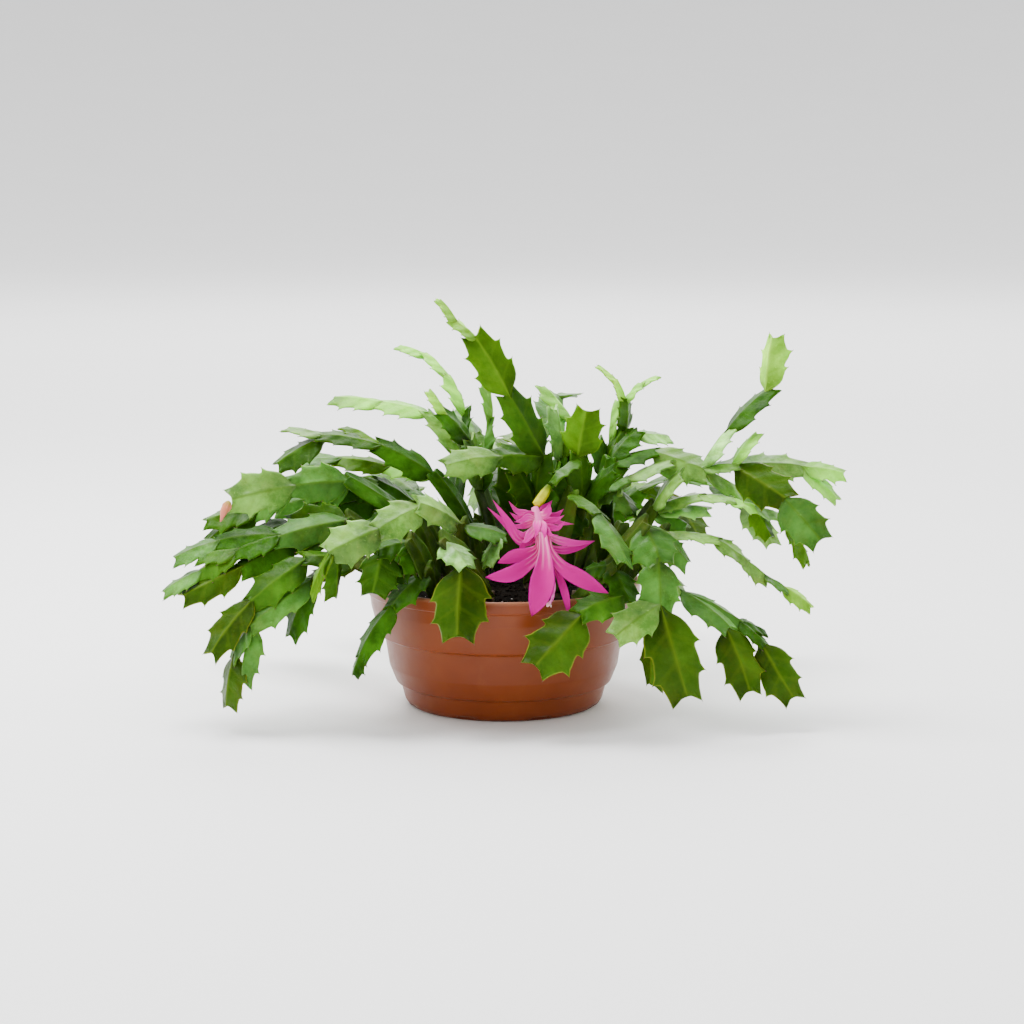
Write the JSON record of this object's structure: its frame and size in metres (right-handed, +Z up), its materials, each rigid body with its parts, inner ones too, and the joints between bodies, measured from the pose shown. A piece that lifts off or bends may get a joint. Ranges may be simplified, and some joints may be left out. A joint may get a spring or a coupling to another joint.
{
  "type": "potted christmas cactus",
  "caption": "Round three-tiered plastic bowl of peat with arching stems of flat toothed segments hanging over its rim, an open flower and a bud.",
  "frame": {"origin": "centre of the underside of the pot's base, on the surface it stands on", "axes": "+Z up; +X to the right along the widest spread of the stems; the flower hangs over the rim on the -Y side, which faces the viewer"},
  "size_m": [0.4383, 0.3798, 0.2664],
  "materials": {
    "foliage": "satin",
    "petals": "satin",
    "ovary": "satin",
    "stamens": "matte",
    "bud": "satin",
    "pot": "semi-gloss",
    "soil": "matte"
  },
  "bodies": {
    "root": {"stem_left_long": "foliage", "stem_left_arch": "foliage", "stem_left_middle": "foliage", "stem_left_back": "foliage", "stem_crown_left": "foliage", "stem_tall": "foliage", "stem_bloom": "foliage", "stem_crown_right": "foliage", "stem_top_right": "foliage", "stem_right_high": "foliage", "stem_right_middle": "foliage", "stem_front_centre": "foliage", "stem_front_right": "foliage", "stem_right_front": "foliage", "stem_right_low": "foliage", "stem_front": "foliage", "stem_left_inner": "foliage", "stem_left_front": "foliage", "stem_left_low": "foliage", "stem_left_hang": "foliage", "stem_far_1": "foliage", "stem_far_2": "foliage", "stem_far_3": "foliage", "stem_far_4": "foliage", "stem_far_5": "foliage", "stem_behind_1": "foliage", "stem_behind_2": "foliage", "bloom_petals": "petals", "bloom_ovary": "ovary", "bloom_stamens": "stamens", "bud": "bud", "pot": "pot", "soil": "soil"}
  },
  "joints": []
}
